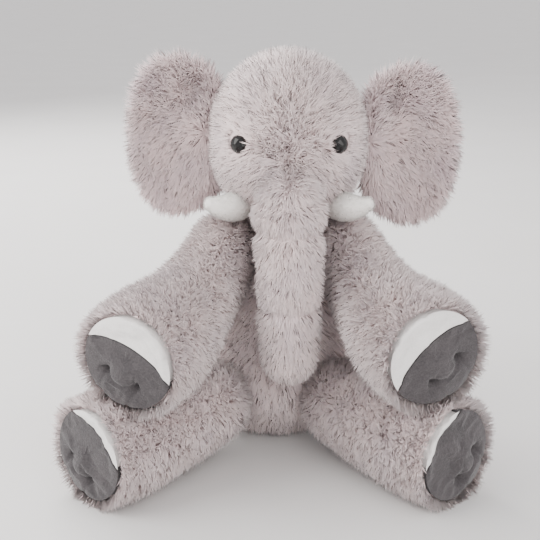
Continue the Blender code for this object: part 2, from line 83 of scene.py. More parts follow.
def soft_light(name, place, size, power, colour):
    """A square area light at a place, turned to face the elephant's middle."""
    lamp = bpy.data.lights.new(name, "AREA")
    lamp.shape = "SQUARE"
    lamp.size = size
    lamp.energy = power
    lamp.color = colour
    light = bpy.data.objects.new(name, lamp)
    light.location = place
    light.rotation_euler = (AIM - Vector(place)).to_track_quat("-Z", "Y").to_euler()
    bpy.context.scene.collection.objects.link(light)


soft_light("window_behind", (-0.9, 1.3, 1.3), 1.4, 56.0, (1.0, 0.98, 0.96))
soft_light("window_left", (-1.3, -0.5, 1.1), 1.2, 27.0, (1.0, 0.98, 0.95))
soft_light("front_fill", (0.7, -1.5, 0.9), 1.4, 18.0, (1.0, 0.97, 0.94))
world = bpy.data.worlds.new("studio")
world.use_nodes = True
world.node_tree.nodes["Background"].inputs["Color"].default_value = (0.98, 0.955, 0.965, 1.0)
world.node_tree.nodes["Background"].inputs["Strength"].default_value = 1.38
bpy.context.scene.world = world


class Shade:
    """A shader socket that Python's arithmetic works on, in the tree of the material that it belongs to."""

    def __init__(self, tree, socket=None):
        self.tree = tree
        self.socket = socket

    def node(self, kind, settings, output, **sockets):
        """Makes one node: its settings first, a ramp's stops among them, and then its sockets."""
        made = self.tree.nodes.new(kind)
        for name, value in settings.items():
            if name == "stops":
                stops = made.color_ramp.elements
                for _ in value[2:]:
                    stops.new(0.5)
                for stop, (place, colour) in zip(stops, value):
                    stop.position = place
                    stop.color = (*colour, 1.0)
            else:
                setattr(made, name, value)
        for name, value in sockets.items():
            slot = int(name[1:]) if name[1:].isdigit() else name.replace("_", " ")
            if isinstance(value, Shade):
                self.tree.links.new(value.socket, made.inputs[slot])
            else:
                made.inputs[slot].default_value = value
        return Shade(self.tree, made.outputs[output])

    def maths(self, operation, first, second=0.0):
        return self.node("ShaderNodeMath", {"operation": operation}, 0, i0=first, i1=second)

    def __add__(self, other):
        return self.maths("ADD", self, other)

    def __sub__(self, other):
        return self.maths("SUBTRACT", self, other)

    def __mul__(self, other):
        return self.maths("MULTIPLY", self, other)

    def blended(self, low, high):
        """Mixes two colours by this value."""
        settings = {"data_type": "RGBA", "clamp_factor": True}
        return self.node("ShaderNodeMix", settings, 2, i0=self, i6=(*low, 1.0), i7=(*high, 1.0))


def finish(name, **constants):
    """A new Principled material with constants on its shader: (material, Shade of its tree, shader node)."""
    made = bpy.data.materials.new(name)
    made.use_nodes = True
    shader = made.node_tree.nodes["Principled BSDF"]
    for socket, value in constants.items():
        shader.inputs[socket.replace("_", " ")].default_value = value
    return made, Shade(made.node_tree), shader


floor_finish, shade, shader = finish("floor_paper", Roughness=0.75, Specular_IOR_Level=0.25)
place = shade.node("ShaderNodeTexCoord", {}, "Object")
mottle = shade.node("ShaderNodeTexNoise", {}, "Fac", Vector=place, Scale=6.0, Detail=3.0)
paper = mottle.blended((0.66, 0.65, 0.64), (0.71, 0.705, 0.70))
shade.tree.links.new(paper.socket, shader.inputs["Base Color"])
floor = bpy.data.objects.new("floor", bpy.data.meshes.new("floor"))
FLOOR_REACH = 16.0
floor_corners = [(x * FLOOR_REACH, y * FLOOR_REACH, 0) for x, y in ((-1, -1), (1, -1), (1, 1), (-1, 1))]
floor.data.from_pydata(floor_corners, [], [(0, 1, 2, 3)])
floor.data.materials.append(floor_finish)
bpy.context.scene.collection.objects.link(floor)


# ---- Torso ------------------------------------------------------------------------------------------------
# A pear of long plush, cut in gores and filled with loose polyester, which stands on its flat seat. The skin
# is woven backing cloth, and its pile stands out from it by about a finger's width.


def unit(vectors):
    return vectors / np.maximum(np.linalg.norm(vectors, axis=-1, keepdims=True), 1e-9)


def piece(name, points, faces, material):
    """A smooth-shaded mesh object from arrays of points and of triangles or quads."""
    mesh = bpy.data.meshes.new(name)
    mesh.from_pydata(points.reshape(-1, 3).tolist(), [], faces)
    mesh.shade_smooth()
    mesh.materials.append(material)
    obj = bpy.data.objects.new(name, mesh)
    bpy.context.scene.collection.objects.link(obj)
    return obj


def closed_faces(rows, sides):
    """Quads between rings of points, and a fan at each end onto a pole; the poles come after the rings."""
    row, side = np.meshgrid(np.arange(rows - 1), np.arange(sides), indexing="ij")
    across = (side + 1) % sides
    quads = np.stack([row * sides + side, row * sides + across, (row + 1) * sides + across,
                      (row + 1) * sides + side], axis=-1).reshape(-1, 4)
    ring = np.arange(sides)
    onward = (ring + 1) % sides
    last = (rows - 1) * sides
    first_fan = np.stack([np.full(sides, rows * sides), onward, ring], axis=-1)
    last_fan = np.stack([np.full(sides, rows * sides + 1), last + ring, last + onward], axis=-1)
    return quads, first_fan, last_fan


def triangles_of(rows, sides):
    """The same faces as closed_faces, with each quad cut in two."""
    quads, first_fan, last_fan = closed_faces(rows, sides)
    return np.concatenate([quads[:, [0, 1, 2]], quads[:, [0, 2, 3]], first_fan, last_fan])


def tube(spine, radii, across, start_cap, end_cap, sides=40, rows=36):
    """Rings about a smooth curve through a spine's points, with rounded caps.

    The curve and its two radii are cubic blends of the points (Catmull-Rom). A cap is a quarter ellipse: its
    ring has the cosine of an angle as its share of the radius, and the sine as its share of the cap's length.
    """
    spine = np.asarray(spine, float)
    radii = np.asarray(radii, float)
    keys = np.concatenate([spine, radii], axis=1)
    keys = np.concatenate([[2 * keys[0] - keys[1]], keys, [2 * keys[-1] - keys[-2]]])
    at = np.linspace(0.0, len(spine) - 1.0, rows)
    cell = np.minimum(at.astype(int), len(spine) - 2)
    t = (at - cell)[:, None]
    k0, k1, k2, k3 = (keys[cell + step] for step in range(4))
    body = 0.5 * (2 * k1 + (k2 - k0) * t + (2 * k0 - 5 * k1 + 4 * k2 - k3) * t**2
                  + (3 * k1 - k0 - 3 * k2 + k3) * t**3)
    centre, radius = body[:, :3], body[:, 3:]
    along = unit(np.gradient(centre, axis=0))
    angle = np.linspace(0.15, 0.5, 6)[:, None] * math.pi
    start = centre[0] - np.cos(angle) * start_cap * along[0]
    end = centre[-1] + np.cos(angle[::-1]) * end_cap * along[-1]
    centre = np.concatenate([start[:-1], centre, end[1:]])
    radius = np.concatenate([np.sin(angle[:-1]) * radius[0], radius, np.sin(angle[::-1][1:]) * radius[-1]])
    ahead = np.concatenate([np.repeat(along[:1], 5, 0), along, np.repeat(along[-1:], 5, 0)])
    side_axis = unit(across - (ahead @ across)[:, None] * ahead)
    other_axis = np.cross(ahead, side_axis)
    turn = np.linspace(0.0, 2.0 * math.pi, sides, endpoint=False)
    rings = (centre[:, None] + radius[:, None, :1] * np.cos(turn)[None, :, None] * side_axis[:, None]
             + radius[:, None, 1:] * np.sin(turn)[None, :, None] * other_axis[:, None])
    poles = np.stack([body[0, :3] - start_cap * along[0], body[-1, :3] + end_cap * along[-1]])
    return rings, poles


def skin_of(name, rings, poles, material):
    """The closed skin through these rings, and what a coat of fur needs of it: (object, points, triangles)."""
    rows, sides = rings.shape[:2]
    points = np.concatenate([rings.reshape(-1, 3), poles])
    quads, first_fan, last_fan = closed_faces(rows, sides)
    obj = piece(name, points, [*quads.tolist(), *first_fan.tolist(), *last_fan.tolist()], material)
    return obj, points, triangles_of(rows, sides)


def swirl(points, wavelength, seed, waves=14):
    """A smooth vector field: a sum of sine waves in random directions, each of about this wavelength."""
    draw = np.random.default_rng(seed)
    heading = unit(draw.normal(size=(waves, 3))) * 2.0 * math.pi / wavelength
    heading *= draw.uniform(0.7, 1.5, (waves, 1))
    phase = draw.uniform(0.0, 2.0 * math.pi, waves)
    push = unit(draw.normal(size=(waves, 3)))
    return np.sin(points @ heading.T + phase) @ push * math.sqrt(2.0 / waves)


def seeded(points, triangles, per_area, seed, keep=None):
    """Places spread evenly over a surface by area, with the smooth normal at each: (places, normals)."""
    draw = np.random.default_rng(seed)
    corners = points[triangles]
    face = np.cross(corners[:, 1] - corners[:, 0], corners[:, 2] - corners[:, 0])
    normals = np.zeros_like(points)
    for corner in range(3):
        np.add.at(normals, triangles[:, corner], face)
    normals = unit(normals)
    area = np.linalg.norm(face, axis=1) / 2.0
    count = int(area.sum() * per_area)
    chosen = draw.choice(len(triangles), count, p=area / area.sum())
    a, b = draw.uniform(size=(2, count, 1))
    flip = a + b > 1.0
    a, b = np.where(flip, 1.0 - a, a), np.where(flip, 1.0 - b, b)
    shares = np.stack([1.0 - a - b, a, b], axis=1)
    places = (corners[chosen] * shares).sum(axis=1)
    facing = unit((normals[triangles[chosen]] * shares).sum(axis=1))
    if keep is not None:
        kept = keep(places)
        places, facing = places[kept], facing[kept]
    return places, facing


FLOOR_CLEARANCE = 0.0006
MOST_LOCKS = 48000


def coat(name, places, normals, combing, material, length=0.0150, width=0.00043, lift=0.70, lay=0.58,
         clump=0.19, spread=0.17, seed=1):
    """Fur: one lock on each place, a closed sliver of four triangles from root to tip, widest near its root.

    A lock heads along lift * normal + lay * combing + clump * swirl + spread * a random vector, made unit
    length. Its widest part is raised towards the normal, so that it stands up first and then falls over. The
    map runs from root to tip in its second direction, and each lock keeps one tint in its first.
    """
    draw = np.random.default_rng(seed)
    count = len(places)
    flow = swirl(places, 0.010, seed + 1) + 0.5 * swirl(places, 0.026, seed + 2)
    combing = combing - (combing * normals).sum(axis=1, keepdims=True) * normals
    heading = unit(lift * normals + lay * combing + clump * flow + spread * draw.normal(size=(count, 3)))
    long = np.broadcast_to(length, count)[:, None] * draw.uniform(0.70, 1.12, (count, 1))
    tips = places + long * heading
    waist = places + 0.35 * long * unit(heading + 0.6 * normals)
    across = unit(np.cross(heading, normals + 0.5 * draw.normal(size=(count, 3))))
    half = width * draw.uniform(0.7, 1.3, (count, 1))
    points = np.stack([places, waist + half * across, waist - half * across, tips], axis=1)
    points[..., 2] = np.maximum(points[..., 2], FLOOR_CLEARANCE + 0.0004 * draw.uniform(size=(count, 1)))
    shine = np.stack([normals, unit(normals + 0.3 * across), unit(normals - 0.3 * across),
                      unit(normals + 0.2 * heading)], axis=1)
    patch = 0.5 + 0.30 * swirl(places, 0.045, seed + 3)[:, 0] + 0.22 * draw.normal(size=count)
    column = np.clip(patch, 0.03, 0.97)
    height = np.array([0.02, 0.35, 0.35, 0.98])
    corners = np.array([[0, 1, 2], [0, 3, 1], [0, 2, 3], [3, 2, 1]])
    made = []
    for part, low in enumerate(range(0, count, MOST_LOCKS)):
        some = slice(low, low + MOST_LOCKS)
        number = len(points[some])
        faces = (corners[None] + 4 * np.arange(number)[:, None, None]).reshape(-1, 3)
        mesh = bpy.data.meshes.new(f"{name}_{part + 1}")
        mesh.vertices.add(number * 4)
        mesh.vertices.foreach_set("co", points[some].astype(np.float32).ravel())
        mesh.loops.add(faces.size)
        mesh.loops.foreach_set("vertex_index", faces.astype(np.int32).ravel())
        mesh.polygons.add(len(faces))
        mesh.polygons.foreach_set("loop_start", np.arange(0, faces.size, 3, dtype=np.int32))
        mesh.update(calc_edges=True)
        mesh.shade_smooth()
        chart = mesh.uv_layers.new(name="OFBake")
        sideways = np.array([0.0, -0.010, 0.010, 0.0])
        u = (column[some, None] + sideways[None]).ravel()[faces.ravel()]
        v = np.tile(height, number)[faces.ravel()]
        chart.data.foreach_set("uv", np.stack([u, v], axis=1).astype(np.float32).ravel())
        mesh.normals_split_custom_set_from_vertices(shine[some].reshape(-1, 3))
        mesh.materials.append(material)
        obj = bpy.data.objects.new(mesh.name, mesh)
        bpy.context.scene.collection.objects.link(obj)
        made.append(obj)
    return made


def pile_finish(name, root, middle, tip, cool, warm):
    """A coat's finish: dark at the root and light at the tip, and tinted from lock to lock by the map."""
    made, shade, shader = finish(name, Roughness=0.92, Specular_IOR_Level=0.12, Sheen_Weight=0.35,
                                 Sheen_Roughness=0.5)
    chart = shade.node("ShaderNodeUVMap", {"uv_map": "OFBake"}, 0)
    column = shade.node("ShaderNodeSeparateXYZ", {}, "X", Vector=chart)
    height = shade.node("ShaderNodeSeparateXYZ", {}, "Y", Vector=chart)
    along = {"stops": ((0.0, root), (0.45, middle), (1.0, tip))}
    from_lock_to_lock = {"stops": ((0.0, cool), (0.5, (1.0, 1.0, 1.0)), (1.0, warm))}
    length = shade.node("ShaderNodeValToRGB", along, 0, Fac=height)
    tint = shade.node("ShaderNodeValToRGB", from_lock_to_lock, 0, Fac=column)
    tinted = {"data_type": "RGBA", "blend_type": "MULTIPLY"}
    colour = shade.node("ShaderNodeMix", tinted, 2, i0=1.0, i6=length, i7=tint)
    shade.tree.links.new(colour.socket, shader.inputs["Base Color"])
    return made


def cloth_finish(name, dark, light):
    """Woven backing cloth: a fine weave, with slow changes of tone."""
    made, shade, shader = finish(name, Roughness=0.95, Sheen_Weight=0.3)
    place = shade.node("ShaderNodeTexCoord", {}, "Object")
    slow = shade.node("ShaderNodeTexNoise", {}, "Fac", Vector=place, Scale=38.0, Detail=3.0)
    fine = shade.node("ShaderNodeTexNoise", {}, "Fac", Vector=place, Scale=900.0, Detail=2.0)
    colour = (slow * 0.6 + fine * 0.4).blended(dark, light)
    bump = shade.node("ShaderNodeBump", {}, 0, Strength=0.5, Distance=0.0008, Height=fine)
    shade.tree.links.new(colour.socket, shader.inputs["Base Color"])
    shade.tree.links.new(bump.socket, shader.inputs["Normal"])
    return made


LILAC_PILE = pile_finish("lilac_grey_pile", (0.80, 0.660, 0.655), (0.88, 0.735, 0.728), (0.98, 0.860, 0.850),
                         (0.90, 0.90, 0.93), (1.06, 1.04, 1.03))
BACKING = cloth_finish("lilac_grey_backing", (0.72, 0.600, 0.600), (0.84, 0.700, 0.700))
DENSITY = 1010000.0      # locks in a square metre

torso_low, torso_high = (np.array(corner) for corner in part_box("torso_skin"))
neck = joint_at["head_nod"]
torso_radius = (torso_high[0] - torso_low[0]) / 2.0
FUR_DEPTH = 0.0115       # from the tips of the pile in to the backing cloth
belly = torso_radius - FUR_DEPTH
SIDEWAYS = np.array([1.0, 0.0, 0.0])
SEAT_SHARE = 0.08        # where the torso's spine starts, as a share of the way up to the neck
BELLY_SWELL = 0.018
BELLY_HEIGHT = 0.050
torso_spine = [np.array([neck[0] * share, neck[1] * share, neck[2] * share])
               for share in (SEAT_SHARE, 0.20, 0.36, 0.54, 0.72, 0.88, 1.0)]
torso_shares = (0.82, 0.96, 1.0, 0.94, 0.80, 0.60, 0.46)
rings, poles = tube(torso_spine, [(belly * share, belly * share) for share in torso_shares], SIDEWAYS,
                    neck[2] * SEAT_SHARE - 0.0005, 0.02, sides=48, rows=44)
SEAT_HEIGHT = 0.001
rings[..., 2] = np.maximum(rings[..., 2], SEAT_HEIGHT)
to_front = np.clip(-rings[..., 1] / belly, 0.0, 1.0)
rings[..., 1] -= BELLY_SWELL * to_front**1.5 * np.exp(-(((rings[..., 2] - BELLY_HEIGHT) / BELLY_HEIGHT) ** 2))
torso_skin, torso_points, torso_triangles = skin_of("torso_backing", rings, poles, BACKING)
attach(torso_skin, "torso")
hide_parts("torso_skin", "torso_stuffing", "closing_seam_thread")


def limb_curve(root, foot, normal, count=5):
    """Points from a limb's seam to its foot, along the cubic that arrives square to the sole.

    It leaves the seam in the direction that mirrors the sole's normal in the straight line between them.
    """
    chord = foot - root
    size = np.linalg.norm(chord)
    leave = 2.0 * (chord @ normal) / size**2 * chord - normal
    t = np.linspace(0.0, 1.0, count)[:, None]
    return ((2 * t**3 - 3 * t**2 + 1) * root + (t**3 - 2 * t**2 + t) * size * leave
            + (3 * t**2 - 2 * t**3) * foot + (t**3 - t**2) * size * normal)


def foot_frame(kind, side):
    """A sole's centre, outward normal, toe direction and radius, from the solids of its two panels."""
    sole, toe = (
        np.array([corner.co for corner in frame["nodes"][f"{kind}_{panel}_{side}"].data.vertices])
        for panel in ("sole", "toe_panel")
    )
    both = np.concatenate([sole, toe])
    normal = np.linalg.svd(both - both.mean(axis=0), full_matrices=False)[2][2]
    normal = normal * -np.sign(normal[1])
    centre = (both.max(axis=0) + both.min(axis=0)) / 2.0
    upward = toe.mean(axis=0) - sole.mean(axis=0)
    upward = unit(upward - (upward @ normal) * normal)
    return centre, normal, upward, np.linalg.norm(both - centre, axis=1).max()


LIMB_SEAM = {"arm": "arm_swing_", "leg": "leg_spread_"}
LIMB_RADII = {"arm": (0.026, 0.029, 0.0340, 0.0430, 0.0455), "leg": (0.033, 0.036, 0.0390, 0.0425, 0.0435)}
SOLE_DEPTH = 0.009       # a limb's skin ends this far behind the middle of its sole
LIMB_SLACK = -0.004      # the torso's fur may stand this far inside a limb's skin
limbs = {}
for kind in LIMB_SEAM:
    for side in SIDES:
        centre, normal, upward, radius = foot_frame(kind, side)
        seam = joint_at[LIMB_SEAM[kind] + side]
        limbs[kind, side] = (
            limb_curve(seam, centre - SOLE_DEPTH * normal, normal), centre, normal, upward, radius
        )


def clear_of_limbs(places):
    """True where a place is outside every limb's skin, given some slack."""
    free = np.ones(len(places), bool)
    for (kind, _), (curve, *_) in limbs.items():
        fine = np.concatenate([curve[:-1] + share * np.diff(curve, axis=0) for share in (0.0, 0.25, 0.5, 0.75)])
        radii = np.concatenate([np.array(LIMB_RADII[kind])[:-1]] * 4)
        away = np.linalg.norm(places[:, None] - fine[None], axis=2)
        free &= (away > radii + LIMB_SLACK).all(axis=1)
    return free


TORSO_FUR_LOW = 0.0045
TORSO_FUR_HIGH = 0.232
places, normals = seeded(
    torso_points, torso_triangles, DENSITY, 11,
    lambda p: (p[:, 2] > TORSO_FUR_LOW) & clear_of_limbs(p) & (p[:, 2] < TORSO_FUR_HIGH),
)
for obj in coat("torso_fur", places, normals, np.array([[0.0, 0.0, -1.0]]), LILAC_PILE, lift=0.85, seed=20):
    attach(obj, "torso")


# ---- Arms and legs ----------------------------------------------------------------------------------------
# Four plush sleeves, each filled firmly and closed by a sole. The nap runs from the seam to the foot, where
# the pile stands out past the sole as a fringe.

BLEND_REACH = 0.030
FRINGE_LOCKS = 2600
FRINGE_LENGTH = 0.0125
LIMB_FUR_LOW = 0.003     # height under which no lock is rooted
RIM_MARGIN = 0.0026      # the fur stops this far behind the middle of the sole
RIM_REACH = 0.016        # the pile turns outward over about this length, up to the rim
UNDER_SOLE = 0.012
TORSO_CORE = 0.060       # a limb has no fur this near the torso's axis, up to the height below
TORSO_CORE_TOP = 0.20
LIMB_HEIGHT = 0.0012     # least height of a limb's skin


def furred(places, centre, normal, radius):
    """True where a limb carries fur: behind the rim, beside the sole, outside the torso and off the floor."""
    ahead = (places - centre) @ normal
    off_axis = np.linalg.norm(places - centre - ahead[:, None] * normal, axis=1)
    from_torso = np.linalg.norm(places[:, :2] - (places[:, 2:] / neck[2]) * neck[None, :2], axis=1)
    under_sole = (ahead > -UNDER_SOLE) & (off_axis < radius)
    buried = (from_torso < TORSO_CORE) & (places[:, 2] < TORSO_CORE_TOP)
    return (ahead < -RIM_MARGIN) & ~under_sole & ~buried & (places[:, 2] > LIMB_FUR_LOW)


for number, ((kind, side), (curve, centre, normal, upward, radius)) in enumerate(limbs.items()):
    widths = [(share, share) for share in LIMB_RADII[kind]]
    rings, poles = tube(curve, widths, SIDEWAYS, widths[0][0], 0.002, sides=36, rows=26)
    rings[..., 2] = np.maximum(rings[..., 2], LIMB_HEIGHT)
    skin, points, triangles = skin_of(f"{kind}_backing_{side}", rings, poles, BACKING)
    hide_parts(f"{kind}_skin_{side}", f"{kind}_stuffing_{side}")
    places, normals = seeded(points, triangles, DENSITY, 30 + number,
                             lambda p: furred(p, centre, normal, radius))
    nearest = np.argmin(np.linalg.norm(places[:, None] - curve[None], axis=2), axis=1)
    heading = unit(np.gradient(curve, axis=0))[nearest]
    to_rim = -(places - centre) @ normal
    near_rim = np.exp(-((to_rim / RIM_REACH) ** 2))
    out = places - centre
    out = unit(out - (out @ normal)[:, None] * normal)
    heading = (1.0 - 0.5 * near_rim[:, None]) * heading + 1.3 * near_rim[:, None] * out
    furs = coat(f"{kind}_fur_{side}", places, normals, heading, LILAC_PILE, length=0.0150 - 0.004 * near_rim,
                seed=40 + 5 * number)
    draw = np.random.default_rng(200 + number)
    turn = draw.uniform(0.0, 2.0 * math.pi, FRINGE_LOCKS)[:, None]
    out = np.cos(turn) * np.cross(upward, normal) + np.sin(turn) * upward
    outward = radius + draw.uniform(-0.0005, 0.003, turn.shape)
    backward = draw.uniform(-0.001, 0.006, turn.shape)
    ring = centre + outward * out - backward * normal
    standing = ring[:, 2] > LIMB_FUR_LOW
    furs += coat(f"{kind}_fringe_{side}", ring[standing], out[standing], normal[None], LILAC_PILE,
                 length=FRINGE_LENGTH, lift=0.85, lay=0.42, seed=220 + 5 * number)
    away = unit(curve[1] - curve[0])
    for obj in (skin, *furs):
        tuple(curve[0] - 0.6 * BLEND_REACH * away)
        tuple(curve[0] + BLEND_REACH * away)
        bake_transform(obj)


# ---- Soles and toe panels ---------------------------------------------------------------------------------
# Each foot is closed by a round of short velvet, with a crescent of white suede above it. Two stitches pull
# the velvet in to the filling, and the cloth between them puckers.

VELVET, shade, shader = finish("sole_velvet", Roughness=0.85, Sheen_Weight=0.25, Sheen_Roughness=0.4)
place = shade.node("ShaderNodeTexCoord", {}, "Object")
nap = shade.node("ShaderNodeTexNoise", {}, "Fac", Vector=place, Scale=620.0, Detail=3.0, Roughness=0.7)
brushed = shade.node("ShaderNodeTexNoise", {}, "Fac", Vector=place, Scale=48.0, Detail=4.0, Distortion=0.8)
tone = (nap * 1.5 + brushed * 0.9 - 0.7).blended((0.022, 0.020, 0.022), (0.092, 0.082, 0.086))
relief = shade.node("ShaderNodeBump", {}, 0, Strength=0.9, Distance=0.0012, Height=nap * 0.8 + brushed * 0.8)
shade.tree.links.new(tone.socket, shader.inputs["Base Color"])
shade.tree.links.new(relief.socket, shader.inputs["Normal"])

SUEDE, shade, shader = finish("white_suede", Roughness=0.9, Sheen_Weight=0.4, Sheen_Roughness=0.5)
place = shade.node("ShaderNodeTexCoord", {}, "Object")
nap = shade.node("ShaderNodeTexNoise", {}, "Fac", Vector=place, Scale=700.0, Detail=3.0, Roughness=0.7)
brushed = shade.node("ShaderNodeTexNoise", {}, "Fac", Vector=place, Scale=45.0, Detail=4.0, Distortion=0.6)
tone = (nap * 1.2 + brushed * 0.8 - 0.5).blended((0.72, 0.70, 0.69), (0.93, 0.91, 0.89))
relief = shade.node("ShaderNodeBump", {}, 0, Strength=0.7, Distance=0.0010, Height=nap * 0.8 + brushed * 0.6)
shade.tree.links.new(tone.socket, shader.inputs["Base Color"])
shade.tree.links.new(relief.socket, shader.inputs["Normal"])
PAD_DOME = 0.0085
PAD_BACK = 0.008
TUFT_SPREAD = 0.016
TUFT_DROP = 0.015
TUFT_SINK = 0.0085
CREASE_SINK = 0.0030
SPOKE_SINK = 0.0022


def puffed(obj, held, most):
    """Swells a padded piece by cloth simulation: pressure inside, no gravity, held at some of its points.

    The pull of the held points makes the puckers. No point may move further than a cap.
    """
    group = obj.vertex_groups.new(name="held")
    group.add(np.flatnonzero(held).tolist(), 1.0, "REPLACE")
    before = np.array([corner.co for corner in obj.data.vertices])
    cloth = obj.modifiers.new("swell", "CLOTH")
    cloth.settings.vertex_group_mass = "held"
    cloth.settings.quality = 6
    cloth.settings.mass = 0.15
    cloth.settings.tension_stiffness = 12.0
    cloth.settings.compression_stiffness = 12.0
    cloth.settings.bending_stiffness = 0.08
    cloth.settings.shrink_min = -0.07
    cloth.settings.use_pressure = True
    cloth.settings.uniform_pressure_force = 4.0
    cloth.settings.effector_weights.gravity = 0.0
    cloth.collision_settings.use_collision = False
    scene = bpy.context.scene
    for step in range(1, 21):
        scene.frame_set(step)
    graph = bpy.context.evaluated_depsgraph_get()
    after = np.array([corner.co for corner in obj.evaluated_get(graph).data.vertices])
    obj.modifiers.remove(cloth)
    scene.frame_set(1)
    moved = after - before
    size = np.linalg.norm(moved, axis=1, keepdims=True)
    moved *= np.minimum(1.0, most / np.maximum(size, 1e-9))
    obj.data.vertices.foreach_set("co", (before + moved).astype(np.float32).ravel())
    obj.data.update()


def pad_disc(centre, normal, upward, radius, rows=30, sides=96):
    """A plump round pad: the rings of a disc on the front, and the same rings behind it.

    The front is a dome, one less the fourth power of the share of the radius. Each tuft sinks it by the
    exponential of minus the squared distance from it. A crease hangs from tuft to tuft as a parabola, and one
    more runs from each tuft down to the edge; each is the same bell curve of the distance across it.
    """
    sideways = np.cross(upward, normal)
    share = np.linspace(0.02, 1.0, rows)[:, None]
    turn = np.linspace(0.0, 2.0 * math.pi, sides, endpoint=False)[None]
    x = radius * share * np.cos(turn)
    y = radius * share * np.sin(turn)
    tufts = np.zeros_like(x)
    spokes = np.zeros_like(x)
    for sign in (-1.0, 1.0):
        tufts += np.exp(-((x - sign * TUFT_SPREAD) ** 2 + (y + TUFT_DROP) ** 2) / 0.0065**2)
        line = x - sign * (TUFT_SPREAD + 0.10 * (y + TUFT_DROP))
        spokes += np.exp(-((line / 0.0026) ** 2)) / (1.0 + np.exp((y + TUFT_DROP) / 0.0015))
    hang = y + TUFT_DROP + 0.0055 * np.maximum(1.0 - (x / TUFT_SPREAD) ** 2, 0.0)
    crease = np.exp(-((hang / 0.0024) ** 2)) * np.exp(-((x / (TUFT_SPREAD * 1.05)) ** 8))
    front = PAD_DOME * (1.0 - share**4) - TUFT_SINK * tufts - CREASE_SINK * crease
    front -= SPOKE_SINK * spokes * (1.0 - share**6)
    back = np.full_like(x, -PAD_BACK)

    def layer(height):
        return centre + x[..., None] * sideways + y[..., None] * upward + height[..., None] * normal

    rings = np.concatenate([layer(back), layer(front)[::-1]])
    poles = np.stack([centre - PAD_BACK * normal, centre + PAD_DOME * normal])
    tufted = np.concatenate([np.zeros_like(tufts), tufts[::-1]]).reshape(-1)
    edge = np.concatenate([np.ones_like(tufts), (share > 0.97)[::-1] * np.ones_like(turn)]).reshape(-1)
    return rings, poles, np.concatenate([(tufted > 0.75) | (edge > 0.5), [True, False]])


def column(centre, axis, across, radius, reach=0.05, sides=128):
    """A straight round column about an axis, for parting one panel from the other."""
    turn = np.linspace(0.0, 2.0 * math.pi, sides, endpoint=False)[:, None]
    ring = radius * (np.cos(turn) * across + np.sin(turn) * np.cross(axis, across))
    points = np.concatenate([centre + ring - reach * axis, centre + ring + reach * axis])
    near = np.arange(sides)
    next_one = (near + 1) % sides
    walls = np.stack([near, next_one, next_one + sides, near + sides], axis=1).tolist()
    return piece("parting_column", points, [*walls, near[::-1].tolist(), (near + sides).tolist()], VELVET)


TOE_EDGE = {"arm_left": 0.40, "arm_right": 0.38, "leg_left": 0.74, "leg_right": 0.84}    # shares of the radius
TOE_TURN = {"arm_left": -11.0, "arm_right": -7.0, "leg_left": -15.0, "leg_right": 0.0}   # degrees
TOE_ARC = 1.8            # radius of the seam between the panels, as a share of the sole's
PAD_INSET = 0.0015
PAD_FORWARD = 0.002
MOST_SWELL = 0.005
SEAM_GROOVE = 0.0007
for (kind, side), (_, centre, normal, upward, radius) in limbs.items():
    wide = radius - PAD_INSET
    middle = centre + PAD_FORWARD * normal
    lean = math.radians(TOE_TURN[f"{kind}_{side}"])
    upward = math.cos(lean) * upward + math.sin(lean) * np.cross(upward, normal)
    rings, poles, held = pad_disc(middle, normal, upward, wide)
    sole = skin_of(f"{kind}_sole_pad_{side}", rings, poles, VELVET)[0]
    puffed(sole, held, MOST_SWELL)
    toe = sole.copy()
    toe.data = sole.data.copy()
    toe.name = toe.data.name = f"{kind}_toe_pad_{side}"
    toe.data.materials[0] = SUEDE
    bpy.context.scene.collection.objects.link(toe)
    edge = middle + (TOE_EDGE[f"{kind}_{side}"] - TOE_ARC) * wide * upward
    for pad, operation, spare in ((sole, "INTERSECT", -SEAM_GROOVE), (toe, "DIFFERENCE", SEAM_GROOVE)):
        cutter = column(edge, normal, upward, TOE_ARC * wide + spare)
        parting = pad.modifiers.new("parting", "BOOLEAN")
        parting.operation = operation
        parting.object = cutter
        parting.solver = "EXACT"
        graph = bpy.context.evaluated_depsgraph_get()
        parted = bpy.data.meshes.new_from_object(pad.evaluated_get(graph))
        pad.modifiers.clear()
        pad.data = parted
        pad.data.shade_smooth()
        pad.data.set_sharp_from_angle(angle=math.radians(55.0))
        bpy.data.objects.remove(cutter, do_unlink=True)
        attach(pad, f"{kind}_{side}")
    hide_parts(f"{kind}_sole_{side}", f"{kind}_tuft_thread_{side}")
    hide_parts(f"{kind}_toe_panel_{side}")


# ---- Neck and head ----------------------------------------------------------------------------------------
# A round head of the same plush on a short neck. Cheeks swell beside the trunk's seam, and a dart between the
# eyes draws the face in. The neck is hidden in the fur of both.

head_low, head_high = (np.array(corner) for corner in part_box("head_skin"))
head_centre = (head_low + head_high) / 2.0
HEAD_SPREAD = 0.0025     # the head's pile is a little shallower
head_half = (head_high - head_low) / 2.0 - FUR_DEPTH + HEAD_SPREAD
HEAD_TALL = 1.03
BROW_DROP = 0.012        # how far the soft crown sinks below its solid
HEAD_WIDE = 0.945
head_centre[2] = head_high[2] - FUR_DEPTH - BROW_DROP - head_half[0] * HEAD_TALL
trunk_root = joint_at["trunk_lift"]
trunk_bend = joint_at["trunk_curl"]


